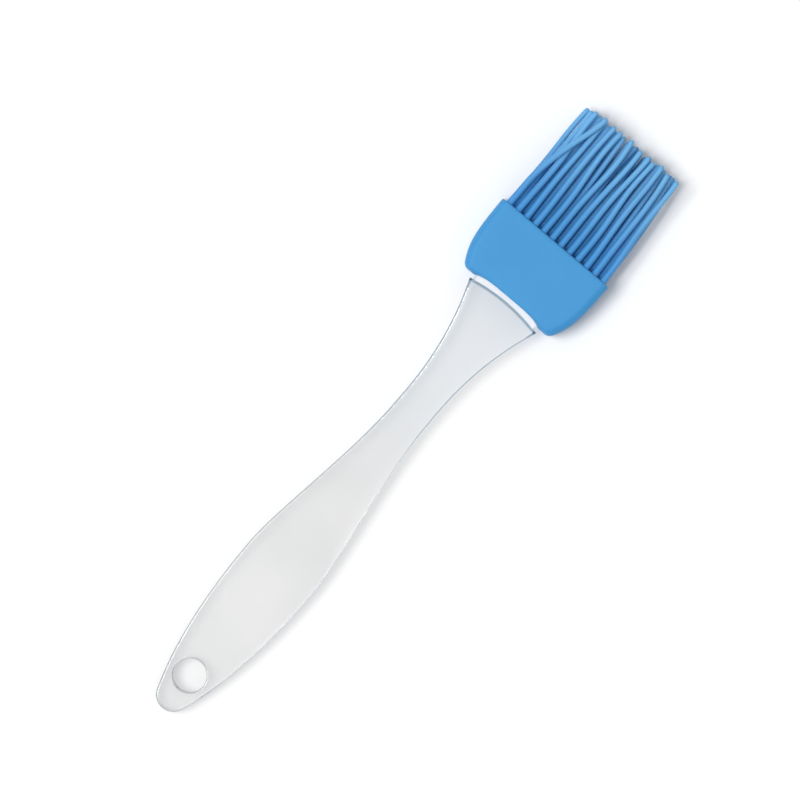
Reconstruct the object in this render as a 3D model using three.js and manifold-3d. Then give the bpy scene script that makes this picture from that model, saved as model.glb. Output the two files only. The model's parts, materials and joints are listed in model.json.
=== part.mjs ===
// Pastry brush: a clear moulded handle with a hang hole, a silicone sleeve that pushes
// onto the handle's tongue, and rows of silicone bristles that bend at their roots.
// Millimetres, +Z up. The brush is made with X running from the handle's hanging end to
// the bristle tips, and then laid down on its sleeve and on the handle's end.

import * as THREE from 'three';
import { mergeVertices } from 'three/addons/utils/BufferGeometryUtils.js';
import Module from 'manifold-3d';

// Handle: a flat plate with rounded edges. Places along it are from its hanging end.
const handleLength = 126;
const handleThickness = 5.5;
const handleEdgeRound = 0.5;
const hangTipRadius = 4.2;
const hangTipFlare = 0.35;
const gripWidth = 19.6;
const gripPlace = 44;
const neckWidth = 9.6;
const neckPlace = 92;
const shoulderWidth = 20.8;
const shoulderFlare = 0.38;
const shoulderBow = 1.2;
const hangHoleDiameter = 8.3;
const hangHolePlace = 10.1;

// Tongue: the thinner end of the handle that the sleeve holds.
const tongueLength = 12.5;
const tongueThickness = 4;
const tongueStep = 1;
const tongueCornerRound = 2.5;
const tongueEdgeRound = 0.5;
const tongueClearance = 0.3;

// Sleeve: a rounded box in silicone, with a socket at its back and a solid web at its front.
const shoulderGap = 1.1;
const sleeveLength = 18.4;
const sleeveWidth = 33;
const sleeveThickness = 11;
const sleeveEdgeRound = 1.8;
const sleeveMouthLip = 1;
const sleeveBackRound = 2.2;
const sleeveFlankFlare = 0.5;

// Bristles: tapered round rods in straight, staggered rows.
const bristlesAcross = 12;
const bristleRows = 4;
const bristleLength = 29.4;
const bristleRootDiameter = 1.7;
const bristleTipDiameter = 1.3;
const bristleSideInset = 1.98;
const bristleTopInset = 1.6;
const bristleRootGap = 0.3;

// How finely curves are cut into flats.
const outlineSteps = 14;
const arcSteps = 10;
const edgeSteps = 3;
const holeSteps = 40;
const bristleSides = 8;

// What follows from the sizes above.
const tongueWidth = shoulderWidth - 2 * tongueStep;
const shoulderEnd = handleLength + shoulderBow;
const mouthMiddle = shoulderEnd + shoulderGap;
const sleeveFront = mouthMiddle - shoulderBow + sleeveLength;
const tongueEnd = shoulderEnd + tongueLength;
const rootPlace = sleeveFront + bristleRootGap + bristleRootDiameter / 2;
const acrossPitch = (sleeveWidth - 2 * bristleSideInset) / (bristlesAcross - 1);
const rowPitch = (sleeveThickness - 2 * bristleTopInset) / (bristleRows - 1);

// The brush lies on the sleeve's underside and on the foot of the handle's rounded end.
// The sleeve gets thinner towards its back by the same slope, so its underside lies flat.
const restSlope = (sleeveThickness - handleThickness) / 2 / (sleeveFront - handleEdgeRound);

const wasm = await Module();
wasm.setup();

const clearPlastic = () => new THREE.MeshStandardMaterial({ color: 0xe9edef, roughness: 0.25, metalness: 0 });
const blueSilicone = () => new THREE.MeshStandardMaterial({ color: 0x4d9dd8, roughness: 0.6, metalness: 0 });

function toSolid(geometry) {
  const plain = geometry.clone();
  plain.deleteAttribute('normal');
  plain.deleteAttribute('uv');
  const merged = mergeVertices(plain, 1e-4);
  const mesh = new wasm.Mesh({
    numProp: 3,
    vertProperties: new Float32Array(merged.attributes.position.array),
    triVerts: new Uint32Array(merged.index.array),
  });
  return new wasm.Manifold(mesh);
}

function toGeometry(solid) {
  const mesh = solid.getMesh();
  const geometry = new THREE.BufferGeometry();
  geometry.setAttribute('position', new THREE.BufferAttribute(new Float32Array(mesh.vertProperties), 3));
  geometry.setIndex(new THREE.BufferAttribute(new Uint32Array(mesh.triVerts), 1));
  geometry.computeVertexNormals();
  return geometry;
}

// A plate of even thickness, centred on z = 0, with its edges rounded inside its outline.
function roundedPlate(outline, thickness, edgeRound) {
  const plate = new THREE.ExtrudeGeometry(new THREE.Shape(outline), {
    depth: thickness - 2 * edgeRound,
    bevelEnabled: true,
    bevelThickness: edgeRound,
    bevelSize: edgeRound,
    bevelOffset: -edgeRound,
    bevelSegments: edgeSteps,
    curveSegments: 1,
  });
  plate.translate(0, 0, edgeRound - thickness / 2);
  return plate;
}

// Points along a chain of curves, with each shared end given once.
function chainPoints(curves, steps) {
  const points = [curves[0].getPoint(0)];
  for (const curve of curves) {
    points.push(...curve.getPoints(steps).slice(1));
  }
  return points;
}

const mirrored = (points) => points.map((point) => new THREE.Vector2(point.x, -point.y)).reverse();

const along = (start, angle, distance) =>
  new THREE.Vector2(start.x + distance * Math.cos(angle), start.y + distance * Math.sin(angle));

// The handle's side from its hanging tip over the grip and the neck to the shoulder's corner.
function handleSide() {
  const tip = new THREE.Vector2(
    hangTipRadius * (1 - Math.sin(hangTipFlare)),
    hangTipRadius * Math.cos(hangTipFlare),
  );
  const grip = new THREE.Vector2(gripPlace, gripWidth / 2);
  const neck = new THREE.Vector2(neckPlace, neckWidth / 2);
  const shoulder = new THREE.Vector2(handleLength, shoulderWidth / 2);
  const tipToGrip = gripPlace - tip.x;
  const gripToNeck = neckPlace - gripPlace;
  const neckToShoulder = handleLength - neckPlace;
  const pull = { tip: 0.39, gripBack: 0.2, gripFront: 0.21, neckBack: 0.34, neckFront: 0.15, shoulder: 0.5 };
  return chainPoints([
    new THREE.CubicBezierCurve(
      tip,
      along(tip, hangTipFlare, pull.tip * tipToGrip),
      along(grip, Math.PI, pull.gripBack * tipToGrip),
      grip,
    ),
    new THREE.CubicBezierCurve(
      grip,
      along(grip, 0, pull.gripFront * gripToNeck),
      along(neck, Math.PI, pull.neckBack * gripToNeck),
      neck,
    ),
    new THREE.CubicBezierCurve(
      neck,
      along(neck, 0, pull.neckFront * neckToShoulder),
      along(shoulder, Math.PI + shoulderFlare, pull.shoulder * neckToShoulder),
      shoulder,
    ),
  ], outlineSteps);
}

// An edge across the brush that bows forwards by the shoulder's bow, given from -Y to +Y.
function bowedEdge(cornerPlace, halfWidth) {
  const corner = new THREE.Vector2(cornerPlace, halfWidth);
  const middle = new THREE.Vector2(cornerPlace + 2 * shoulderBow, 0);
  return new THREE.QuadraticBezierCurve(mirrored([corner])[0], middle, corner).getPoints(arcSteps);
}

function handleOutline() {
  const side = handleSide();
  const tip = new THREE.EllipseCurve(
    hangTipRadius, 0, hangTipRadius, hangTipRadius,
    Math.PI / 2 + hangTipFlare, 1.5 * Math.PI - hangTipFlare,
  ).getPoints(arcSteps);
  const end = bowedEdge(handleLength, shoulderWidth / 2);
  const lower = mirrored(side).reverse();
  const upper = [...side].reverse();
  return [...lower, ...end.slice(1), ...upper.slice(1), ...tip.slice(1, -1)];
}

// The tongue's outline, or the socket's when it is drawn a clearance larger.
function tongueOutline(back, front, width, cornerRound) {
  const half = width / 2;
  const shape = new THREE.Shape();
  shape.moveTo(back, -half);
  shape.lineTo(front - cornerRound, -half);
  shape.absarc(front - cornerRound, cornerRound - half, cornerRound, -Math.PI / 2, 0);
  shape.absarc(front - cornerRound, half - cornerRound, cornerRound, 0, Math.PI / 2);
  shape.lineTo(back, half);
  return shape.getPoints(arcSteps / 2);
}

function handleGeometry() {
  const plate = toSolid(roundedPlate(handleOutline(), handleThickness, handleEdgeRound));
  const tongue = toSolid(roundedPlate(
    tongueOutline(handleLength - tongueStep, tongueEnd, tongueWidth, tongueCornerRound),
    tongueThickness,
    tongueEdgeRound,
  ));
  const drill = new THREE.CylinderGeometry(
    hangHoleDiameter / 2, hangHoleDiameter / 2, 2 * handleThickness, holeSteps,
  );
  drill.rotateX(Math.PI / 2);
  drill.translate(hangHolePlace, 0, 0);
  return toGeometry(plate.add(tongue).subtract(toSolid(drill)));
}

// The sleeve's side from its front corner, in over its flank and round to the back edge.
function sleeveSide() {
  const backPlace = mouthMiddle - shoulderBow;
  const backHalf = shoulderWidth / 2 + sleeveMouthLip;
  const backTilt = Math.atan(2 * shoulderBow / backHalf);
  const turnCentre = along(new THREE.Vector2(backPlace, backHalf), backTilt, sleeveBackRound);
  const flankEnd = along(turnCentre, Math.PI / 2 + sleeveFlankFlare, sleeveBackRound);
  const front = new THREE.Vector2(sleeveFront, sleeveWidth / 2);
  const pull = { front: 0.55, flank: 0.25 };
  const flank = new THREE.CubicBezierCurve(
    front,
    along(front, Math.PI, pull.front * sleeveLength),
    along(flankEnd, sleeveFlankFlare, pull.flank * sleeveLength),
    flankEnd,
  );
  const turn = new THREE.EllipseCurve(
    turnCentre.x, turnCentre.y, sleeveBackRound, sleeveBackRound,
    Math.PI / 2 + sleeveFlankFlare, Math.PI + backTilt,
  );
  return [...flank.getPoints(outlineSteps), ...turn.getPoints(arcSteps / 2).slice(1)];
}

// The front is drawn a rounded edge too long and cut off flat.
function sleeveOutline() {
  const side = sleeveSide();
  const nose = new THREE.Vector2(sleeveFront + 2 * sleeveEdgeRound, sleeveWidth / 2);
  const back = bowedEdge(mouthMiddle - shoulderBow, shoulderWidth / 2 + sleeveMouthLip).reverse();
  return [nose, ...side, ...back.slice(1, -1), ...mirrored([nose, ...side])];
}

// A plate whose thickness is true at the sleeve's front and falls evenly towards its back.
function taperedPlate(outline, thickness, edgeRound) {
  const plate = roundedPlate(outline, thickness, edgeRound);
  const place = plate.attributes.position;
  for (let i = 0; i < place.count; i += 1) {
    const thinner = 2 * restSlope * (sleeveFront - place.getX(i));
    place.setZ(i, place.getZ(i) * (1 - thinner / thickness));
  }
  return plate;
}

function sleeveGeometry() {
  const shell = toSolid(taperedPlate(sleeveOutline(), sleeveThickness, sleeveEdgeRound));
  const block = new THREE.BoxGeometry(sleeveLength * 2, sleeveWidth * 2, sleeveThickness * 2);
  block.translate(sleeveFront - sleeveLength, 0, 0);
  const socket = toSolid(roundedPlate(
    tongueOutline(
      shoulderEnd - sleeveLength,
      tongueEnd + tongueClearance,
      tongueWidth + 2 * tongueClearance,
      tongueCornerRound + tongueClearance,
    ),
    tongueThickness + 2 * tongueClearance,
    tongueEdgeRound + tongueClearance,
  ));
  return toGeometry(shell.intersect(toSolid(block)).subtract(socket));
}

// A bristle along +X, with the centre of its round root at the origin.
function bristleGeometry() {
  const rootRadius = bristleRootDiameter / 2;
  const tipRadius = bristleTipDiameter / 2;
  const tipCentre = bristleLength - bristleRootGap - rootRadius - tipRadius;
  const slant = Math.PI / 4;
  const profile = [
    new THREE.Vector2(0, -rootRadius),
    new THREE.Vector2(rootRadius * Math.cos(slant), -rootRadius * Math.sin(slant)),
    new THREE.Vector2(rootRadius, 0),
    new THREE.Vector2(tipRadius, tipCentre),
    new THREE.Vector2(tipRadius * Math.cos(slant), tipCentre + tipRadius * Math.sin(slant)),
    new THREE.Vector2(0, tipCentre + tipRadius),
  ];
  const rod = new THREE.LatheGeometry(profile, bristleSides);
  rod.rotateZ(-Math.PI / 2);
  return rod;
}

// One row of bristles, in a group whose origin is the line that the row bends about.
// The rows are staggered: every other row, counted from the top one, has a bristle fewer.
function bristleRow(row) {
  const group = new THREE.Group();
  group.position.set(rootPlace, 0, (row - (bristleRows + 1) / 2) * rowPitch);
  const inThisRow = bristlesAcross - (bristleRows - row) % 2;
  for (let place = 1; place <= inThisRow; place += 1) {
    const bristle = new THREE.Mesh(bristleGeometry(), blueSilicone());
    bristle.name = `bristle_${row}_${String(place).padStart(2, '0')}`;
    bristle.position.y = (place - (inThisRow + 1) / 2) * acrossPitch;
    group.add(bristle);
  }
  return group;
}

const handle = new THREE.Mesh(handleGeometry(), clearPlastic());
handle.name = 'handle';

const sleeve = new THREE.Mesh(sleeveGeometry(), blueSilicone());
sleeve.name = 'silicone_sleeve';

const brush = new THREE.Group();
brush.add(handle, sleeve);
for (let row = 1; row <= bristleRows; row += 1) {
  brush.add(bristleRow(row));
}
brush.rotation.y = -Math.atan(restSlope);

// The origin is under the middle of the brush's box, on the surface that it lies on.
const pastryBrush = new THREE.Group();
pastryBrush.add(brush);
pastryBrush.updateMatrixWorld(true);
const box = new THREE.Box3().setFromObject(brush, true);
brush.position.x = -(box.min.x + box.max.x) / 2;
brush.position.z = -box.min.z;

export default pastryBrush;
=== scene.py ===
"""A pastry brush: a clear moulded handle, and a blue silicone head with its bristles."""

import json
import math

import bmesh
import bpy
from mathutils import Matrix, Vector
from mathutils.geometry import interpolate_bezier


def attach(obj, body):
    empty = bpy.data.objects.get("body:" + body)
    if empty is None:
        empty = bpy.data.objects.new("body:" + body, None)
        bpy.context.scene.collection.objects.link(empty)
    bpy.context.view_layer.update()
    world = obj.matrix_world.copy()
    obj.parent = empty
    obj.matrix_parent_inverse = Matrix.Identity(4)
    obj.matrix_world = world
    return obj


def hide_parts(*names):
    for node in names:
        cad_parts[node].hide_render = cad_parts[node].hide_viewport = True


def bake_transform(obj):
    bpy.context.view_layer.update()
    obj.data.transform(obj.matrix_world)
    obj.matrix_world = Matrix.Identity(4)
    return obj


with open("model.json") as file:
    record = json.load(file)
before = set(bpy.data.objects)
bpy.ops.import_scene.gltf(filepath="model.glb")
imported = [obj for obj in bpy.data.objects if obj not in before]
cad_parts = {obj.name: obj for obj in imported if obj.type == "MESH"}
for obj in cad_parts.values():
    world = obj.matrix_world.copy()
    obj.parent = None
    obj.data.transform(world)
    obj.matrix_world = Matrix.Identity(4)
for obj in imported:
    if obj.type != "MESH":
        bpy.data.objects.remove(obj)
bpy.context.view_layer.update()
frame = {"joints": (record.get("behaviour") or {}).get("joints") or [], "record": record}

# ---------------------------------------------------------------------------------------
# Handle. One flat injection moulding in clear polystyrene, 5.5 mm thick with rounded
# edges: round tip with a hang hole, belly for the hand, neck, flared shoulder, and past
# the shoulder a thinner frosted tongue that the silicone head is stretched over.
# ---------------------------------------------------------------------------------------

# lengths are in millimetres, measured along the brush from its hanging end
MM = 0.001
HANDLE_LENGTH, HANDLE_THICKNESS = 126.0, 5.5
HANDLE_EDGE_ROUND, SHOULDER_EDGE_ROUND = 0.5, 1.2
TIP_RADIUS, TIP_FLARE = 4.2, 0.35
GRIP_PLACE, GRIP_WIDTH = 44.0, 19.6
NECK_PLACE, NECK_WIDTH = 92.0, 9.6
SHOULDER_WIDTH, SHOULDER_FLARE, SHOULDER_BOW = 20.8, 0.38, 1.2
HOLE_PLACE, HOLE_RADIUS, HOLE_EDGE_ROUND = 10.1, 4.15, 0.25
TONGUE_LENGTH, TONGUE_WIDTH, TONGUE_THICKNESS = 12.5, 18.8, 4.0
TONGUE_CORNER_ROUND, TONGUE_EDGE_ROUND, TONGUE_OVERLAP = 2.5, 0.5, 1.0
SHOULDER_END = HANDLE_LENGTH + SHOULDER_BOW
TONGUE_END = SHOULDER_END + TONGUE_LENGTH

# how far each curve of the outline runs on straight from its ends, as shares of its span
TIP_PULL, GRIP_BACK_PULL, GRIP_FRONT_PULL = 0.39, 0.2, 0.21
NECK_BACK_PULL, NECK_FRONT_PULL, SHOULDER_PULL = 0.34, 0.15, 0.5
# points are left out this near the shoulder's corners, where the edge's round would fold over
CORNER_ROOM = 2.2
# a narrow ring of the flat face beside each rounded edge, which keeps the face's shading flat
FLAT_RIM = 0.1
LONG_CURVE_STEPS, SHORT_CURVE_STEPS, SHOULDER_STEPS, HOLE_STEPS = 48, 32, 16, 96
EDGE_STEPS, SMALL_EDGE_STEPS = 8, 4
# the mould is finely etched up to the first place, and polished from the second one on
ETCHED_TO, POLISHED_FROM = 62.0, 104.0

# The head is thicker than the handle, so on a table the brush leans back on its hanging
# end, by the slope of the line that the head pulls off along.
BRISTLE_BEND_PLACE = 146.65
joints = {joint["name"]: joint for joint in frame["joints"]}
row_names = [f"bristle_row_{row}" for row in (1, 2, 3, 4)]
row_roots = [Vector(joints[name + "_bend"]["pos_m"]) for name in row_names]
brush_axis = Vector(joints["head_pull"]["axis"]).normalized()
brush_side = Vector((0, 1, 0))
brush_up = brush_axis.cross(brush_side)
hanging_end = sum(row_roots, Vector()) / len(row_roots) - brush_axis * BRISTLE_BEND_PLACE * MM
BRUSH_TO_FRAME = (
    Matrix.Translation(hanging_end)
    @ Matrix((brush_axis, brush_side, brush_up)).transposed().to_4x4()
    @ Matrix.Scale(MM, 4)
)


def away(start, angle, distance):
    return Vector((start[0] + distance * math.cos(angle), start[1] + distance * math.sin(angle)))


def arc(centre, radius, start, end, steps):
    return [away(centre, start + (end - start) * i / steps, radius) for i in range(steps + 1)]


def bezier(start, start_pull, end_pull, end, steps):
    return [p.to_2d() for p in interpolate_bezier(start, start_pull, end_pull, end, steps + 1)]


def mirrored(points):
    return [Vector((p.x, -p.y)) for p in reversed(points)]


def bowed_edge(corner_place, half_width, steps):
    """An edge across the brush that bows forwards in its middle, from -Y to +Y."""
    low, high = Vector((corner_place, -half_width)), Vector((corner_place, half_width))
    pull = Vector((corner_place + 2 * SHOULDER_BOW, 0))
    return bezier(low, low.lerp(pull, 2 / 3), high.lerp(pull, 2 / 3), high, steps)


def handle_outline():
    """The handle seen from above, anticlockwise from the middle of its hanging tip."""
    tip = away((TIP_RADIUS, 0), math.pi / 2 + TIP_FLARE, TIP_RADIUS)
    grip = Vector((GRIP_PLACE, GRIP_WIDTH / 2))
    neck = Vector((NECK_PLACE, NECK_WIDTH / 2))
    shoulder = Vector((HANDLE_LENGTH, SHOULDER_WIDTH / 2))
    belly, waist, flare = grip.x - tip.x, neck.x - grip.x, shoulder.x - neck.x
    upper = bezier(
        tip, away(tip, TIP_FLARE, TIP_PULL * belly),
        grip - Vector((GRIP_BACK_PULL * belly, 0)), grip, LONG_CURVE_STEPS,
    )
    upper += bezier(
        grip, grip + Vector((GRIP_FRONT_PULL * waist, 0)),
        neck - Vector((NECK_BACK_PULL * waist, 0)), neck, LONG_CURVE_STEPS,
    )[1:]
    upper += bezier(
        neck, neck + Vector((NECK_FRONT_PULL * flare, 0)),
        away(shoulder, math.pi + SHOULDER_FLARE, SHOULDER_PULL * flare), shoulder, SHORT_CURVE_STEPS,
    )[1:]
    end = bowed_edge(HANDLE_LENGTH, shoulder.y, SHOULDER_STEPS)
    upper = [p for p in upper[:-1] if (p - shoulder).length > CORNER_ROOM]
    end = [end[0], *(p for p in end if shoulder.y - abs(p.y) > CORNER_ROOM), end[-1]]
    round_tip = arc(
        (TIP_RADIUS, 0), TIP_RADIUS,
        math.pi / 2 + TIP_FLARE, 1.5 * math.pi - TIP_FLARE, SHORT_CURVE_STEPS,
    )
    return mirrored(upper)[::-1] + end + upper[::-1] + round_tip[1:-1]


def inward_mitres(points):
    """How each corner of a closed anticlockwise outline moves when its sides move in by one."""
    mitres = []
    for before, point, after in zip(points[-1:] + points[:-1], points, points[1:] + points[:1]):
        first, second = (point - before).normalized(), (after - point).normalized()
        normals = Vector((-first.y, first.x)), Vector((-second.y, second.x))
        mitre = (normals[0] + normals[1]).normalized()
        mitres.append(mitre / mitre.dot(normals[0]))
    return mitres


def rounded_edge_profile(half_thickness, radius, steps):
    """(distance in from the outline, height) round an edge, from the top face to the bottom one."""
    top = [(radius + FLAT_RIM, half_thickness)]
    for i in range(steps + 1):
        turn = math.pi / 2 * i / steps
        top.append((radius * (1 - math.sin(turn)), half_thickness - radius * (1 - math.cos(turn))))
    return top + [(distance, -height) for distance, height in reversed(top)]


def rounded_edge_rings(outline, half_thickness, radii, steps):
    """Rings round the edge of a plate, from its top face to its bottom one."""
    columns = [
        [(p.x + mitre.x * distance, p.y + mitre.y * distance, height)
         for distance, height in rounded_edge_profile(half_thickness, radius, steps)]
        for p, mitre, radius in zip(outline, inward_mitres(outline), radii)
    ]
    return list(zip(*columns))


def skin(builder, rings):
    """Quads between closed rings of points, and the rings' vertices."""
    made = [[builder.verts.new(point) for point in ring] for ring in rings]
    for ring, following in zip(made, made[1:]):
        for i in range(len(ring)):
            j = (i + 1) % len(ring)
            builder.faces.new((ring[i], ring[j], following[j], following[i]))
    return made


def ring_edges(builder, ring):
    return [builder.edges.get((ring[i - 1], ring[i])) for i in range(len(ring))]


def flat_plate(outline, half_thickness, edge_rounds, steps, hole=None):
    """A plate with rounded edges, and a round hole given as place, radius and edge round."""
    builder = bmesh.new()
    edge = skin(builder, rounded_edge_rings(outline, half_thickness, edge_rounds, steps))
    loops = [[edge[0]], [edge[-1]]]
    if hole:
        place, radius, rim_round = hole
        wall = skin(builder, [
            [(p.x, p.y, height)
             for p in arc((place, 0), radius + distance, 2 * math.pi, 0, HOLE_STEPS)[:-1]]
            for distance, height in rounded_edge_profile(half_thickness, rim_round, SMALL_EDGE_STEPS)
        ])
        loops[0].append(wall[0])
        loops[1].append(wall[-1])
    for face_loops in loops:
        edges = [e for loop in face_loops for e in ring_edges(builder, loop)]
        bmesh.ops.triangle_fill(builder, edges=edges, use_beauty=True)
    bmesh.ops.recalc_face_normals(builder, faces=builder.faces)
    return builder


def tongue_outline():
    """The tongue seen from above, from just inside the shoulder to its two rounded corners."""
    back, half = HANDLE_LENGTH - TONGUE_OVERLAP, TONGUE_WIDTH / 2
    radius, turn = TONGUE_CORNER_ROUND, math.pi / 2
    lower = arc((TONGUE_END - radius, radius - half), radius, -turn, 0, EDGE_STEPS)
    upper = arc((TONGUE_END - radius, half - radius), radius, 0, turn, EDGE_STEPS)
    return [Vector((back, -half)), *lower, *upper, Vector((back, half))]


def add_node(tree, kind, inputs=None, **settings):
    """A node with its settings. Its inputs are plain values or outputs of earlier nodes."""
    node = tree.nodes.new(kind)
    for name, value in settings.items():
        setattr(node, name, value)
    for name, value in (inputs or {}).items():
        if isinstance(value, bpy.types.NodeSocket):
            tree.links.new(value, node.inputs[name])
        else:
            node.inputs[name].default_value = value
    return node


def linear(hex_colour):
    """An sRGB hex colour as the linear colour that a shader takes."""
    parts = [int(hex_colour[i : i + 2], 16) / 255 for i in (1, 3, 5)]
    return [p / 12.92 if p <= 0.04045 else ((p + 0.055) / 1.055) ** 2.4 for p in parts] + [1]


def new_material(name):
    material = bpy.data.materials.new(name)
    material.use_nodes = True
    material.node_tree.nodes.clear()
    return material, material.node_tree


def place_on_brush(tree):
    """Object coordinates turned to lie along the brush, in millimetres from its hanging end."""
    to_brush = BRUSH_TO_FRAME.inverted()
    place = add_node(tree, "ShaderNodeTexCoord").outputs["Object"]
    return add_node(tree, "ShaderNodeMapping", {
        "Vector": place, "Location": to_brush.translation, "Rotation": to_brush.to_euler(),
        "Scale": to_brush.to_scale(),
    }).outputs["Vector"]


def finish_see_through(tree, plastic, dimmed):
    """Sends the plastic to the output. Lamp and table light go straight through it, a little dimmed,
    as they do in thick clear plastic, where refraction alone would leave a black shadow."""
    straight_through = add_node(tree, "ShaderNodeBsdfTransparent", {"Color": dimmed}).outputs[0]
    ray = add_node(tree, "ShaderNodeLightPath").outputs
    lights_table = add_node(tree, "ShaderNodeMath", {
        0: ray["Is Shadow Ray"], 1: ray["Is Diffuse Ray"],
    }, operation="MAXIMUM").outputs[0]
    both = add_node(tree, "ShaderNodeMixShader", {0: lights_table, 1: plastic, 2: straight_through})
    add_node(tree, "ShaderNodeOutputMaterial", {"Surface": both.outputs[0]})


def clear_moulded_polystyrene():
    """Polystyrene moulded in a tool that is finely etched at the grip and polished at the neck. The eye
    sees a soft satin veil at the grip, glass at the shoulder, and slow ripples where the plastic shrank.
    The edges carry painted shade: pale grey at the grip, and towards the shoulder a darker blue-grey
    that is both painted shade and a painted reflection of the blue head."""
    material, tree = new_material("clear_moulded_polystyrene")
    place = place_on_brush(tree)
    along = add_node(tree, "ShaderNodeSeparateXYZ", {0: place}).outputs["X"]
    polish = add_node(tree, "ShaderNodeMapRange", {
        "Value": along, "From Min": ETCHED_TO, "From Max": POLISHED_FROM,
    }, interpolation_type="SMOOTHSTEP").outputs["Result"]
    satin = add_node(tree, "ShaderNodeMapRange", {
        "Value": polish, "To Min": 0.16, "To Max": 0.05,
    }).outputs["Result"]
    # the tool's etching is pits of about 0.05 mm, drawn at 0.4 mm so that they show at all
    pits = add_node(tree, "ShaderNodeTexNoise", {
        "Vector": place, "Scale": 1 / 0.4, "Detail": 3.0,
    }).outputs["Fac"]
    etching = add_node(tree, "ShaderNodeMapRange", {
        "Value": pits, "To Min": -0.03, "To Max": 0.03,
    }).outputs["Result"]
    roughness = add_node(tree, "ShaderNodeMath", {0: satin, 1: etching}, operation="ADD").outputs[0]
    # ripples where it shrank, about 11 mm from one to the next
    shrinkage = add_node(tree, "ShaderNodeTexNoise", {
        "Vector": place, "Scale": 1 / 11.0, "Detail": 2.0,
    }).outputs["Fac"]
    ripples = add_node(tree, "ShaderNodeBump", {
        "Height": shrinkage, "Strength": 0.06, "Distance": 1.0 * MM,
    }).outputs["Normal"]
    # 0 on the flat faces and 1 on the edges. There the colour is painted darker as painted shade, and
    # the light going through is dimmed more, as it runs a long way inside the plastic
    facing_up = add_node(tree, "ShaderNodeVectorMath", {
        0: add_node(tree, "ShaderNodeTexCoord").outputs["Normal"], 1: tuple(brush_up),
    }, operation="DOT_PRODUCT").outputs["Value"]
    flatness = add_node(tree, "ShaderNodeMath", {0: facing_up}, operation="ABSOLUTE").outputs[0]
    edge = add_node(tree, "ShaderNodeMapRange", {
        "Value": flatness, "From Min": 0.998, "From Max": 0.85, "To Min": 0.0, "To Max": 1.0,
    }, interpolation_type="SMOOTHSTEP").outputs["Result"]
    # a faint uneven veil over the belly, in patches of about 22 mm
    patches = add_node(tree, "ShaderNodeTexNoise", {
        "Vector": place, "Scale": 1 / 22.0, "Detail": 1.0,
    }).outputs["Fac"]
    haze = add_node(tree, "ShaderNodeMapRange", {
        "Value": patches, "From Min": 0.35, "From Max": 0.65,
    }).outputs["Result"]
    satin_colour = add_node(tree, "ShaderNodeMix", {
        "Factor": haze, 6: linear("#F7F8F8"), 7: linear("#FEFEFE"),
    }, data_type="RGBA").outputs[2]
    face_colour = add_node(tree, "ShaderNodeMix", {
        "Factor": polish, 6: satin_colour, 7: linear("#F8FBFE"),
    }, data_type="RGBA").outputs[2]
    # painted shade on the edges: grey at the grip, turning blue-grey towards the head as a painted
    # reflection of the blue silicone
    painted_edge_shade_colour = add_node(tree, "ShaderNodeMix", {
        "Factor": polish, 6: linear("#BCC3C8"), 7: linear("#7F9BB0"),
    }, data_type="RGBA").outputs[2]
    colour = add_node(tree, "ShaderNodeMix", {
        "Factor": edge, 6: face_colour, 7: painted_edge_shade_colour,
    }, data_type="RGBA").outputs[2]
    plastic = add_node(tree, "ShaderNodeBsdfPrincipled", {
        "Base Color": colour, "Roughness": roughness, "Normal": ripples,
        "IOR": 1.57, "Transmission Weight": 0.94,
    }).outputs["BSDF"]
    face_light = add_node(tree, "ShaderNodeMix", {
        "Factor": polish, 6: linear("#ECECEC"), 7: linear("#F3F3F3"),
    }, data_type="RGBA").outputs[2]
    dimmed = add_node(tree, "ShaderNodeMix", {
        "Factor": edge, 6: face_light, 7: linear("#D4D6D8"),
    }, data_type="RGBA").outputs[2]
    finish_see_through(tree, plastic, dimmed)
    return material


def frosted_moulded_polystyrene():
    """The same plastic where the mould is spark-eroded, so that the silicone grips it. The eye sees
    a milky white that light still comes through."""
    material, tree = new_material("frosted_moulded_polystyrene")
    # spark erosion leaves a grain of about 0.05 mm, drawn at 0.2 mm
    grain = add_node(tree, "ShaderNodeTexNoise", {
        "Vector": place_on_brush(tree), "Scale": 1 / 0.2, "Detail": 3.0,
    }).outputs["Fac"]
    roughness = add_node(tree, "ShaderNodeMapRange", {
        "Value": grain, "To Min": 0.3, "To Max": 0.5,
    }).outputs["Result"]
    pitted = add_node(tree, "ShaderNodeBump", {
        "Height": grain, "Strength": 0.3, "Distance": 0.05 * MM,
    }).outputs["Normal"]
    plastic = add_node(tree, "ShaderNodeBsdfPrincipled", {
        "Base Color": linear("#FBFCFD"), "Roughness": roughness, "Normal": pitted,
        "IOR": 1.57, "Transmission Weight": 0.6,
    }).outputs["BSDF"]
    finish_see_through(tree, plastic, linear("#F6F6F6"))
    return material


def put_in_frame(name, builder, materials, material_number=0):
    """An object from a bmesh drawn in brush millimetres, laid down in the frame."""
    for face in builder.faces:
        face.material_index = material_number
    builder.transform(BRUSH_TO_FRAME)
    mesh = bpy.data.meshes.new(name)
    builder.to_mesh(mesh)
    builder.free()
    for material in materials:
        mesh.materials.append(material)
    piece = bpy.data.objects.new(name, mesh)
    bpy.context.scene.collection.objects.link(piece)
    return piece


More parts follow.
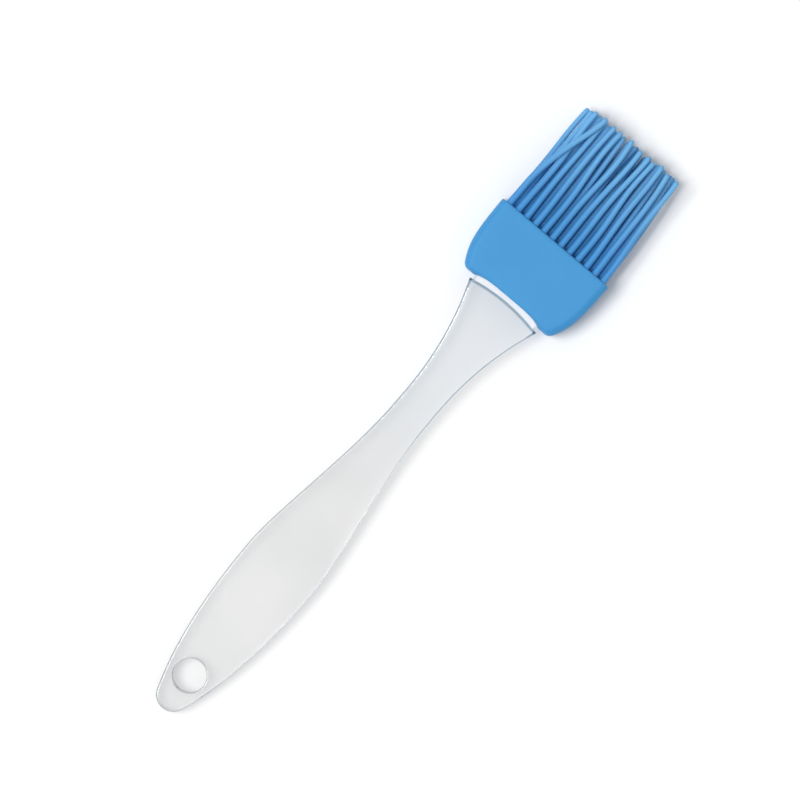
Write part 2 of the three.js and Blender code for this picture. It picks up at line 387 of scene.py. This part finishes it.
polystyrenes = [clear_moulded_polystyrene(), frosted_moulded_polystyrene()]
outline = handle_outline()
on_shoulder = [p.x > HANDLE_LENGTH - 0.01 for p in outline]
edge_rounds = [SHOULDER_EDGE_ROUND if at_end else HANDLE_EDGE_ROUND for at_end in on_shoulder]
plate = put_in_frame("handle_plate", flat_plate(
    outline, HANDLE_THICKNESS / 2, edge_rounds, EDGE_STEPS,
    hole=(HOLE_PLACE, HOLE_RADIUS, HOLE_EDGE_ROUND),
), polystyrenes)
outline = tongue_outline()
tongue = put_in_frame("tongue", flat_plate(
    outline, TONGUE_THICKNESS / 2, [TONGUE_EDGE_ROUND] * len(outline), SMALL_EDGE_STEPS,
), polystyrenes, material_number=1)
join = plate.modifiers.new("join", "BOOLEAN")
join.operation, join.solver, join.object = "UNION", "EXACT", tongue
depsgraph = bpy.context.evaluated_depsgraph_get()
handle_mesh = bpy.data.meshes.new_from_object(plate.evaluated_get(depsgraph))
bpy.data.objects.remove(plate)
bpy.data.objects.remove(tongue)
handle_mesh.name = "clear_handle"
handle_mesh.shade_smooth()
handle_mesh.set_sharp_from_angle(angle=math.radians(35))
clear_handle = bpy.data.objects.new("clear_handle", handle_mesh)
bpy.context.scene.collection.objects.link(clear_handle)
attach(clear_handle, "handle")
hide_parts("handle")

# ---------------------------------------------------------------------------------------
# Sleeve. The back of the one-piece silicone head: a rounded block, compression moulded in
# blue silicone rubber, with a socket at its back that grips the handle's tongue and a
# solid web at its front that the bristles grow from.
# ---------------------------------------------------------------------------------------

SHOULDER_GAP = 1.1
SLEEVE_LENGTH, SLEEVE_WIDTH, SLEEVE_THICKNESS = 18.4, 33.0, 11.0
MOUTH_PLACE = HANDLE_LENGTH + SHOULDER_GAP
SLEEVE_FRONT = MOUTH_PLACE + SLEEVE_LENGTH
BRISTLE_TIPS = SLEEVE_FRONT + 29.0
REST_SLOPE = brush_axis.z / brush_axis.x
SLEEVE_EDGE_ROUND, SLEEVE_RIM_ROUND, SLEEVE_FLAT_RIM = 2.1, 0.45, 0.15
# the sleeve's back: the lip round the mouth, its corners, and how its flanks widen from them
SLEEVE_MOUTH_LIP, SLEEVE_BACK_ROUND, SLEEVE_FLANK_FLARE = 1.0, 2.2, 0.5
FLANK_BACK_PULL, FLANK_FRONT_PULL = 0.25, 0.55
BACK_FACE_EDGE_ROUND, MOUTH_EDGE_ROUND, MOUTH_RIM_ROUND = 1.8, 0.6, 0.5
SOCKET_CLEARANCE, SOCKET_END_ROUND, SOCKET_BOW_DEPTH = 0.3, 0.6, 3.0
# the back edge bows like the shoulder, and the bow has faded out this far along the sleeve
BOW_SHARPNESS, BOW_FADE = 4, 9.0
SECTION_CORNER_STEPS, SECTION_WIDTH_STEPS, SECTION_HEIGHT_STEPS = 10, 24, 6
BACK_CORNER_STEPS, FLANK_STEPS, RIM_STEPS = 10, 24, 4


def sleeve_plan():
    """(place, half width) down one side of the sleeve, from its back edge to its front."""
    back = Vector((MOUTH_PLACE, SHOULDER_WIDTH / 2 + SLEEVE_MOUTH_LIP))
    back_tilt = math.atan(2 * SHOULDER_BOW / back.y)
    centre = away(back, back_tilt, SLEEVE_BACK_ROUND)
    corner = arc(
        centre, SLEEVE_BACK_ROUND,
        math.pi + back_tilt, math.pi / 2 + SLEEVE_FLANK_FLARE, BACK_CORNER_STEPS,
    )
    front = Vector((SLEEVE_FRONT, SLEEVE_WIDTH / 2))
    flank = bezier(
        corner[-1], away(corner[-1], SLEEVE_FLANK_FLARE, FLANK_BACK_PULL * SLEEVE_LENGTH),
        front - Vector((FLANK_FRONT_PULL * SLEEVE_LENGTH, 0)), front, FLANK_STEPS,
    )
    return [p for p in corner + flank[1:] if p.x < SLEEVE_FRONT - SLEEVE_RIM_ROUND]


def half_thickness_at(place):
    """The sleeve is a little thinner towards its back, so that its underside lies flat."""
    return SLEEVE_THICKNESS / 2 - REST_SLOPE * (SLEEVE_FRONT - place)


def section(place, half_width, half_height, corner_round, bow=0.0):
    """A rounded rectangle across the brush, with its middle bowed forwards."""
    nearly_round = 0.98 * half_height
    corner_round = min(corner_round, nearly_round)
    points = []
    turn = math.pi / 2
    for quarter, (sy, sz) in enumerate(((1, 1), (-1, 1), (-1, -1), (1, -1))):
        centre = (sy * (half_width - corner_round), sz * (half_height - corner_round))
        corner = arc(centre, corner_round, quarter * turn, (quarter + 1) * turn, SECTION_CORNER_STEPS)
        points += corner
        straight = SECTION_WIDTH_STEPS if quarter % 2 == 0 else SECTION_HEIGHT_STEPS
        following = away(
            (((-sy) if quarter % 2 == 0 else sy) * (half_width - corner_round),
             (sz if quarter % 2 == 0 else -sz) * (half_height - corner_round)),
            (quarter + 1) * turn, corner_round,
        )
        points += [corner[-1].lerp(following, i / straight) for i in range(1, straight)]
    return [(place + bow * (1 - min(1, abs(y) / half_width) ** BOW_SHARPNESS), y, z) for y, z in points]


def sleeve_rings():
    """Sections from the bottom of the socket out to its mouth, then forwards over the outside."""
    plan = sleeve_plan()
    socket_half = Vector((TONGUE_WIDTH / 2 + SOCKET_CLEARANCE, TONGUE_THICKNESS / 2 + SOCKET_CLEARANCE))
    socket_end = TONGUE_END + SOCKET_CLEARANCE
    socket_round = TONGUE_EDGE_ROUND + SOCKET_CLEARANCE
    rings = [
        section(
            socket_end, socket_half.x - SOCKET_END_ROUND, socket_half.y - SOCKET_END_ROUND, socket_round,
        ),
        section(socket_end - SOCKET_END_ROUND, socket_half.x, socket_half.y, socket_round),
        section(
            MOUTH_PLACE + SOCKET_BOW_DEPTH, socket_half.x, socket_half.y, socket_round, SHOULDER_BOW,
        ),
    ]
    for i in range(RIM_STEPS + 1):
        turn = math.pi / 2 * i / RIM_STEPS
        rings.append(section(
            MOUTH_PLACE + MOUTH_RIM_ROUND * (1 - math.sin(turn)),
            socket_half.x + MOUTH_RIM_ROUND * (1 - math.cos(turn)),
            socket_half.y + MOUTH_RIM_ROUND * (1 - math.cos(turn)),
            socket_round, SHOULDER_BOW,
        ))
    rings.append(section(
        MOUTH_PLACE, plan[0].y - SLEEVE_FLAT_RIM,
        half_thickness_at(MOUTH_PLACE) - MOUTH_EDGE_ROUND - FLAT_RIM, BACK_FACE_EDGE_ROUND, SHOULDER_BOW,
    ))
    for p in plan:
        from_back = max(0, min(1, (p.x - MOUTH_PLACE) / MOUTH_EDGE_ROUND))
        edge = MOUTH_EDGE_ROUND * (1 - math.sqrt(1 - (1 - from_back) ** 2))
        bow = SHOULDER_BOW * max(0, 1 - (p.x - MOUTH_PLACE) / BOW_FADE) ** 2
        rings.append(section(p.x, p.y, half_thickness_at(p.x) - edge, SLEEVE_EDGE_ROUND, bow))
    for i in range(RIM_STEPS + 1):
        turn = math.pi / 2 * i / RIM_STEPS
        gone = SLEEVE_RIM_ROUND * (1 - math.cos(turn))
        place = SLEEVE_FRONT - SLEEVE_RIM_ROUND * (1 - math.sin(turn))
        rings.append(section(
            place, SLEEVE_WIDTH / 2 - gone, SLEEVE_THICKNESS / 2 - gone, SLEEVE_EDGE_ROUND,
        ))
    gone = SLEEVE_RIM_ROUND + SLEEVE_FLAT_RIM
    rings.append(section(
        SLEEVE_FRONT, SLEEVE_WIDTH / 2 - gone, SLEEVE_THICKNESS / 2 - gone, SLEEVE_EDGE_ROUND,
    ))
    return rings


def blue_moulded_silicone(name, hex_colour, painted_tip_glow_hex_colour, gloss, glow, sheen):
    """Silicone rubber from a spark-eroded steel mould. The eye sees an even matte skin, a powdery sheen
    at glancing angles, and light that comes in a little way under the surface. The colour can also turn
    paler towards the bristles' tips, a painted glow that stands in for light shining through the thin
    rods."""
    material, tree = new_material(name)
    place = place_on_brush(tree)
    # spark erosion leaves a grain of about 0.05 mm, drawn at 0.15 mm
    grain = add_node(tree, "ShaderNodeTexNoise", {
        "Vector": place, "Scale": 1 / 0.15, "Detail": 2.0,
    }).outputs["Fac"]
    # the pigment is a little uneven, in patches of about 14 mm
    patches = add_node(tree, "ShaderNodeTexNoise", {
        "Vector": place, "Scale": 1 / 14.0, "Detail": 3.0,
    }).outputs["Fac"]
    shade = add_node(tree, "ShaderNodeMapRange", {
        "Value": patches, "From Min": 0.3, "From Max": 0.7, "To Min": 0.96, "To Max": 1.03,
    }).outputs["Result"]
    along = add_node(tree, "ShaderNodeSeparateXYZ", {0: place}).outputs["X"]
    # painted glow: the colour turns paler towards the bristles' tips, standing in for light shining
    # through the thin rods
    towards_tips = add_node(tree, "ShaderNodeMapRange", {
        "Value": along, "From Min": SLEEVE_FRONT, "From Max": BRISTLE_TIPS,
    }, interpolation_type="SMOOTHSTEP").outputs["Result"]
    base = add_node(tree, "ShaderNodeMix", {
        "Factor": towards_tips, 6: linear(hex_colour), 7: linear(painted_tip_glow_hex_colour),
    }, data_type="RGBA").outputs[2]
    colour = add_node(tree, "ShaderNodeVectorMath", {0: base, "Scale": shade}, operation="SCALE")
    roughness = add_node(tree, "ShaderNodeMapRange", {
        "Value": grain, "To Min": 0.5, "To Max": 0.66,
    }).outputs["Result"]
    skin_grain = add_node(tree, "ShaderNodeBump", {
        "Height": grain, "Strength": 0.25, "Distance": 0.03 * MM,
    }).outputs["Normal"]
    rubber = add_node(tree, "ShaderNodeBsdfPrincipled", {
        "Base Color": colour.outputs[0], "Roughness": roughness, "Normal": skin_grain, "IOR": 1.41,
        "Specular IOR Level": gloss, "Sheen Weight": sheen, "Sheen Roughness": 0.4,
        "Subsurface Weight": glow, "Subsurface Radius": (0.1, 0.5, 1.0), "Subsurface Scale": 1.0 * MM,
    }).outputs["BSDF"]
    add_node(tree, "ShaderNodeOutputMaterial", {"Surface": rubber})
    return material


def make_sleeve():
    builder = bmesh.new()
    rings = skin(builder, sleeve_rings())
    builder.faces.new(reversed(rings[0]))
    builder.faces.new(rings[-1])
    bmesh.ops.recalc_face_normals(builder, faces=builder.faces)
    return builder


sleeve_silicone = blue_moulded_silicone(
    "blue_moulded_silicone", "#3A8FC9", "#3A8FC9", gloss=0.45, glow=0.15, sheen=0.2,
)
sleeve = put_in_frame("blue_sleeve", make_sleeve(), [sleeve_silicone])
sleeve.data.shade_smooth()
sleeve.data.set_sharp_from_angle(angle=math.radians(50))
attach(sleeve, "head")
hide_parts("silicone_sleeve")

# ---------------------------------------------------------------------------------------
# Bristles. Tapered silicone rods in four staggered rows, moulded in one with the sleeve's
# web, each with a small fillet at its root and a rounded tip. They have taken a slight set:
# they lean to one side, wander, draw in towards the middle, and one crosses its neighbours.
# ---------------------------------------------------------------------------------------

BRISTLES_ACROSS, BRISTLE_SIDE_INSET = 12, 1.98
BRISTLE_PITCH = (SLEEVE_WIDTH - 2 * BRISTLE_SIDE_INSET) / (BRISTLES_ACROSS - 1)
BRISTLE_LENGTH, BRISTLE_ROOT_SUNK = 30.4, 0.5
BRISTLE_SIDES, BRISTLE_STEPS = 12, 30
# neighbours drift the same way, in a slow swell across the row
DRIFT_PERIOD = 26.0
ROW_LOOKS = (
    # from the lowest row up: how far its bristles drift and wander, and the one that strays
    {"Count": 11, "Seed": 11, "Drift": 0.7, "Drift phase": 2.6},
    {"Count": 12, "Seed": 12, "Drift": 0.7, "Drift phase": 3.0},
    {"Count": 11, "Seed": 13, "Drift": 0.6, "Drift phase": 4.6, "Wander": 0.5},
    {"Count": 12, "Seed": 14, "Drift": 0.5, "Drift phase": 5.2, "Wander": 0.6, "Wave": 0.55,
     "Stray": 11, "Stray shift": -5.2, "Stray lift": 1.7},
)


def bristle_row_tree():
    """One row of bristles along +X, spread along Y, in millimetres, from named sizes."""
    tree = bpy.data.node_groups.new("bristle_row", "GeometryNodeTree")
    sizes = {
        "Count": ("NodeSocketInt", BRISTLES_ACROSS), "Pitch": ("NodeSocketFloat", BRISTLE_PITCH),
        "Length": ("NodeSocketFloat", BRISTLE_LENGTH + BRISTLE_ROOT_SUNK),
        "Unevenness": ("NodeSocketFloat", 0.9),
        "Root radius": ("NodeSocketFloat", 0.85), "Tip radius": ("NodeSocketFloat", 0.63),
        "Fillet": ("NodeSocketFloat", 0.3), "Fillet length": ("NodeSocketFloat", 1.3),
        "Draw in": ("NodeSocketFloat", 0.07), "Lean": ("NodeSocketFloat", 1.1),
        "Wander": ("NodeSocketFloat", 0.35),
        "Wave": ("NodeSocketFloat", 0.3), "Lift": ("NodeSocketFloat", 0.4),
        "Seed": ("NodeSocketInt", 1),
        "Drift": ("NodeSocketFloat", 0.0), "Drift phase": ("NodeSocketFloat", 0.0),
        "Stray": ("NodeSocketInt", -1), "Stray shift": ("NodeSocketFloat", 0.0),
        "Stray lift": ("NodeSocketFloat", 0.0), "Material": ("NodeSocketMaterial", None),
    }
    for name, (kind, value) in sizes.items():
        socket = tree.interface.new_socket(name, in_out="INPUT", socket_type=kind)
        if value is not None:
            socket.default_value = value
    tree.interface.new_socket("Row", in_out="OUTPUT", socket_type="NodeSocketGeometry")
    size = add_node(tree, "NodeGroupInput").outputs
    maths, one_to_another = "ShaderNodeMath", "ShaderNodeMapRange"

    last = add_node(tree, maths, {0: size["Count"], 1: 1.0}, operation="SUBTRACT").outputs[0]
    spread = add_node(tree, maths, {0: last, 1: size["Pitch"]}, operation="MULTIPLY").outputs[0]
    first_y = add_node(tree, maths, {0: spread, 1: -0.5}, operation="MULTIPLY").outputs[0]
    start = add_node(tree, "ShaderNodeCombineXYZ", {"Y": first_y}).outputs[0]
    step = add_node(tree, "ShaderNodeCombineXYZ", {"Y": size["Pitch"]}).outputs[0]
    roots = add_node(tree, "GeometryNodeMeshLine", {
        "Count": size["Count"], "Start Location": start, "Offset": step,
    }).outputs["Mesh"]
    number = add_node(tree, "GeometryNodeInputIndex").outputs[0]
    numbered = add_node(tree, "GeometryNodeStoreNamedAttribute", {
        "Geometry": roots, "Name": "bristle", "Value": number,
    }, data_type="INT", domain="POINT").outputs["Geometry"]
    line = add_node(tree, "GeometryNodeCurvePrimitiveLine", {"End": (1.0, 0.0, 0.0)}).outputs["Curve"]
    fine_line = add_node(tree, "GeometryNodeResampleCurve", {
        "Curve": line, "Count": BRISTLE_STEPS,
    }).outputs["Curve"]
    placed = add_node(tree, "GeometryNodeInstanceOnPoints", {
        "Points": numbered, "Instance": fine_line,
    }).outputs["Instances"]
    lines = add_node(tree, "GeometryNodeRealizeInstances", {"Geometry": placed}).outputs["Geometry"]

    # how far along the bristle, from 0 at the root to 1 at the tip, closer together at both ends
    even = add_node(tree, "GeometryNodeSplineParameter").outputs["Factor"]
    half_turn = add_node(tree, maths, {0: even, 1: math.pi}, operation="MULTIPLY").outputs[0]
    cosine = add_node(tree, maths, {0: half_turn}, operation="COSINE").outputs[0]
    along = add_node(tree, maths, {0: cosine, 1: -0.5, 2: 0.5}, operation="MULTIPLY_ADD").outputs[0]
    lines = add_node(tree, "GeometryNodeStoreNamedAttribute", {
        "Geometry": lines, "Name": "along", "Value": along,
    }, data_type="FLOAT", domain="POINT").outputs["Geometry"]
    along = add_node(tree, "GeometryNodeInputNamedAttribute", {"Name": "along"}, data_type="FLOAT")
    along = along.outputs["Attribute"]
    # a bristle bends a little more towards its tip
    bend = add_node(tree, maths, {0: along, 1: 1.4}, operation="POWER").outputs[0]
    bristle = add_node(tree, "GeometryNodeInputNamedAttribute", {"Name": "bristle"}, data_type="INT")
    bristle = bristle.outputs["Attribute"]
    seeds = [
        add_node(tree, maths, {0: size["Seed"], 1: 100.0 * i}, operation="ADD").outputs[0]
        for i in range(5)
    ]
    length_draw, side_draw, lift_draw, phase_draw, turns_draw = (
        add_node(tree, "FunctionNodeRandomValue", {
            2: -1.0, 3: 1.0, "ID": bristle, "Seed": seed,
        }, data_type="FLOAT").outputs[1]
        for seed in seeds
    )

    # where each point of a bristle goes: along it, sideways, and up
    shorter = add_node(tree, maths, {0: length_draw}, operation="ABSOLUTE").outputs[0]
    cut = add_node(tree, maths, {0: shorter, 1: size["Unevenness"]}, operation="MULTIPLY").outputs[0]
    length = add_node(tree, maths, {0: size["Length"], 1: cut}, operation="SUBTRACT").outputs[0]
    x = add_node(tree, maths, {0: along, 1: length}, operation="MULTIPLY").outputs[0]
    root_y = add_node(tree, "ShaderNodeSeparateXYZ", {
        0: add_node(tree, "GeometryNodeInputPosition").outputs[0],
    }).outputs["Y"]
    drawn_in = add_node(tree, maths, {0: root_y, 1: size["Draw in"]}, operation="MULTIPLY").outputs[0]
    wander = add_node(tree, maths, {0: side_draw, 1: size["Wander"]}, operation="MULTIPLY").outputs[0]
    leaning = add_node(tree, maths, {0: wander, 1: size["Lean"]}, operation="ADD").outputs[0]
    own_way = add_node(tree, maths, {0: leaning, 1: drawn_in}, operation="SUBTRACT").outputs[0]
    across = add_node(tree, maths, {
        0: root_y, 1: 2 * math.pi / DRIFT_PERIOD, 2: size["Drift phase"],
    }, operation="MULTIPLY_ADD").outputs[0]
    swell = add_node(tree, maths, {0: across}, operation="SINE").outputs[0]
    sideways = add_node(tree, maths, {
        0: swell, 1: size["Drift"], 2: own_way,
    }, operation="MULTIPLY_ADD").outputs[0]
    # each has its own wave, of two thirds of a turn to a little over one along its length
    turns = add_node(tree, maths, {0: turns_draw, 1: 1.5, 2: 5.5}, operation="MULTIPLY_ADD").outputs[0]
    phase = add_node(tree, maths, {0: phase_draw, 1: math.pi}, operation="MULTIPLY").outputs[0]
    angle = add_node(tree, maths, {0: along, 1: turns, 2: phase}, operation="MULTIPLY_ADD").outputs[0]
    sine = add_node(tree, maths, {0: angle}, operation="SINE").outputs[0]
    growing = add_node(tree, maths, {0: along, 1: size["Wave"]}, operation="MULTIPLY").outputs[0]
    wave = add_node(tree, maths, {0: sine, 1: growing}, operation="MULTIPLY").outputs[0]
    # the stray one rises over its neighbours first and then crosses them
    is_stray = add_node(tree, "FunctionNodeCompare", {
        2: bristle, 3: size["Stray"],
    }, data_type="INT", operation="EQUAL").outputs[0]
    crossing = add_node(tree, one_to_another, {
        "Value": along, "From Min": 0.22, "From Max": 1.0, "To Min": 0.0, "To Max": size["Stray shift"],
    }, interpolation_type="SMOOTHSTEP").outputs["Result"]
    rising = add_node(tree, one_to_another, {
        "Value": along, "From Min": 0.12, "From Max": 0.5, "To Min": 0.0, "To Max": size["Stray lift"],
    }, interpolation_type="SMOOTHSTEP").outputs["Result"]
    strayed = add_node(tree, maths, {0: is_stray, 1: crossing}, operation="MULTIPLY").outputs[0]
    lifted = add_node(tree, maths, {0: is_stray, 1: rising}, operation="MULTIPLY").outputs[0]
    bent = add_node(tree, maths, {0: bend, 1: sideways, 2: wave}, operation="MULTIPLY_ADD").outputs[0]
    off = add_node(tree, maths, {0: bent, 1: strayed}, operation="ADD").outputs[0]
    y = add_node(tree, maths, {0: root_y, 1: off}, operation="ADD").outputs[0]
    up = add_node(tree, maths, {0: lift_draw, 1: size["Lift"]}, operation="MULTIPLY").outputs[0]
    z = add_node(tree, maths, {0: bend, 1: up, 2: lifted}, operation="MULTIPLY_ADD").outputs[0]
    point = add_node(tree, "ShaderNodeCombineXYZ", {"X": x, "Y": y, "Z": z}).outputs[0]
    shaped = add_node(tree, "GeometryNodeSetPosition", {
        "Geometry": lines, "Position": point,
    }).outputs["Geometry"]

    # how thick it is there: an even taper, a fillet where it meets the web, and a round tip
    taper = add_node(tree, one_to_another, {
        "Value": along, "To Min": size["Root radius"], "To Max": size["Tip radius"],
    }).outputs["Result"]
    from_root = add_node(tree, maths, {0: along, 1: size["Length"]}, operation="MULTIPLY").outputs[0]
    fading = add_node(tree, one_to_another, {
        "Value": from_root, "From Max": size["Fillet length"], "To Min": 1.0, "To Max": 0.0,
    }).outputs["Result"]
    curved = add_node(tree, maths, {0: fading, 1: 2.5}, operation="POWER").outputs[0]
    flared = add_node(tree, maths, {
        0: curved, 1: size["Fillet"], 2: taper,
    }, operation="MULTIPLY_ADD").outputs[0]
    to_tip = add_node(tree, maths, {0: size["Length"], 1: from_root}, operation="SUBTRACT").outputs[0]
    into_tip = add_node(tree, one_to_another, {
        "Value": to_tip, "From Max": size["Tip radius"], "To Min": 0.98, "To Max": 0.0,
    }).outputs["Result"]
    squared = add_node(tree, maths, {0: into_tip, 1: 2.0}, operation="POWER").outputs[0]
    left = add_node(tree, maths, {0: 1.0, 1: squared}, operation="SUBTRACT").outputs[0]
    round_tip = add_node(tree, maths, {0: left}, operation="SQRT").outputs[0]
    radius = add_node(tree, maths, {0: flared, 1: round_tip}, operation="MULTIPLY").outputs[0]
    circle = add_node(tree, "GeometryNodeCurvePrimitiveCircle", {
        "Resolution": BRISTLE_SIDES, "Radius": 1.0,
    }).outputs["Curve"]
    rods = add_node(tree, "GeometryNodeCurveToMesh", {
        "Curve": shaped, "Profile Curve": circle, "Scale": radius, "Fill Caps": True,
    }).outputs["Mesh"]
    smooth = add_node(tree, "GeometryNodeSetShadeSmooth", {"Geometry": rods}).outputs["Geometry"]
    real = add_node(tree, "GeometryNodeRealizeInstances", {"Geometry": smooth}).outputs["Geometry"]
    finished = add_node(tree, "GeometryNodeSetMaterial", {
        "Geometry": real, "Material": size["Material"],
    }).outputs["Geometry"]
    add_node(tree, "NodeGroupOutput", {"Row": finished})
    return tree


row_tree = bristle_row_tree()
row_input = {item.name: item.identifier for item in row_tree.interface.items_tree}
# the second colour paints the tips paler, a painted glow of light through the thin rods
bristle_silicone = blue_moulded_silicone(
    "blue_bristle_silicone", "#3D8BC9", "#66A8D8", gloss=0.55, glow=0.12, sheen=0.0,
)
for name, root, looks in zip(row_names, row_roots, ROW_LOOKS):
    row = bpy.data.objects.new(name, bpy.data.meshes.new(name))
    bpy.context.scene.collection.objects.link(row)
    grower = row.modifiers.new("bristles", "NODES")
    grower.node_group = row_tree
    for size_name, value in looks.items():
        grower[row_input[size_name]] = value
    grower[row_input["Material"]] = bristle_silicone
    depsgraph = bpy.context.evaluated_depsgraph_get()
    grown = bpy.data.meshes.new_from_object(row.evaluated_get(depsgraph))
    row.modifiers.remove(grower)
    row_height = (root - hanging_end).dot(brush_up) / MM
    base = Matrix.Translation((SLEEVE_FRONT - BRISTLE_ROOT_SUNK, 0, row_height))
    grown.transform(BRUSH_TO_FRAME @ base)
    grown.name = name
    row.data = grown
    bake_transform(row)
    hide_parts(*frame["record"]["behaviour"]["bodies"][name])

# ---------------------------------------------------------------------------------------
# Table, light and camera. A white laminate table under a large soft lamp at the left, with
# pale light all round, seen from straight above with a long lens.
# ---------------------------------------------------------------------------------------

CAMERA_TURN = math.radians(49.75)
VIEW_WIDTH = 190.9 * MM
LENS, SENSOR = 250.0, 36.0
LOOK_AT = BRUSH_TO_FRAME @ Vector((93.5, 4.7, 2.0))
view_right = Vector((math.cos(CAMERA_TURN), -math.sin(CAMERA_TURN), 0))

# a hair below the brush, so that the two faces don't flicker through each other
TABLE_HALF_WIDTH, TABLE_DROP = 2.0, 0.02 * MM
LAMP_WIDTH, LAMP_WATTS, LAMP_LEFT, LAMP_UP = 1.5, 88.0, 1.25, 3.3


def white_table():
    """A matte white laminate: even, with no gloss of its own."""
    material, tree = new_material("white_laminate")
    board = add_node(tree, "ShaderNodeBsdfPrincipled", {
        "Base Color": linear("#F4F4F4"), "Roughness": 0.8, "Specular IOR Level": 0.1,
    }).outputs["BSDF"]
    add_node(tree, "ShaderNodeOutputMaterial", {"Surface": board})
    return material


builder = bmesh.new()
bmesh.ops.create_grid(builder, x_segments=1, y_segments=1, size=TABLE_HALF_WIDTH)
table_mesh = bpy.data.meshes.new("table")
builder.to_mesh(table_mesh)
builder.free()
table_mesh.materials.append(white_table())
table = bpy.data.objects.new("table", table_mesh)
table.location.z = -TABLE_DROP
bpy.context.scene.collection.objects.link(table)

lamp_data = bpy.data.lights.new("soft_lamp", "AREA")
lamp_data.shape = "DISK"
lamp_data.size = LAMP_WIDTH
lamp_data.energy = LAMP_WATTS
lamp = bpy.data.objects.new("soft_lamp", lamp_data)
# its image doesn't show as a hot spot through the clear plastic
lamp.visible_transmission = False
lamp.location = LOOK_AT - view_right * LAMP_LEFT + Vector((0, 0, LAMP_UP))
lamp.rotation_mode = "QUATERNION"
lamp.rotation_quaternion = (LOOK_AT - lamp.location).to_track_quat("-Z", "Y")
bpy.context.scene.collection.objects.link(lamp)

# a pale room, brighter overhead, and seen directly as plain as the table
world = bpy.data.worlds.new("pale_room")
world.use_nodes = True
world.node_tree.nodes.clear()
sky = world.node_tree
direction = add_node(sky, "ShaderNodeTexCoord").outputs["Generated"]
height = add_node(sky, "ShaderNodeSeparateXYZ", {0: direction}).outputs["Z"]
brightness = add_node(sky, "ShaderNodeMapRange", {
    "Value": height, "From Min": 0.0, "From Max": 0.8, "To Min": 0.25, "To Max": 0.62,
}).outputs["Result"]
seen_directly = add_node(sky, "ShaderNodeLightPath").outputs["Is Camera Ray"]
shown = add_node(sky, "ShaderNodeMix", {
    "Factor": seen_directly, "A": brightness, "B": 0.85,
}, data_type="FLOAT").outputs["Result"]
glow = add_node(sky, "ShaderNodeBackground", {"Color": (1, 1, 1, 1), "Strength": shown}).outputs[0]
add_node(sky, "ShaderNodeOutputWorld", {"Surface": glow})
bpy.context.scene.world = world

camera_data = bpy.data.cameras.new("camera")
camera_data.lens, camera_data.sensor_width = LENS, SENSOR
camera = bpy.data.objects.new("camera", camera_data)
camera.location = LOOK_AT + Vector((0, 0, VIEW_WIDTH * LENS / SENSOR))
camera.rotation_euler = (0, 0, -CAMERA_TURN)
bpy.context.scene.collection.objects.link(camera)
bpy.context.scene.camera = camera
bpy.context.scene.view_settings.view_transform = "Standard"
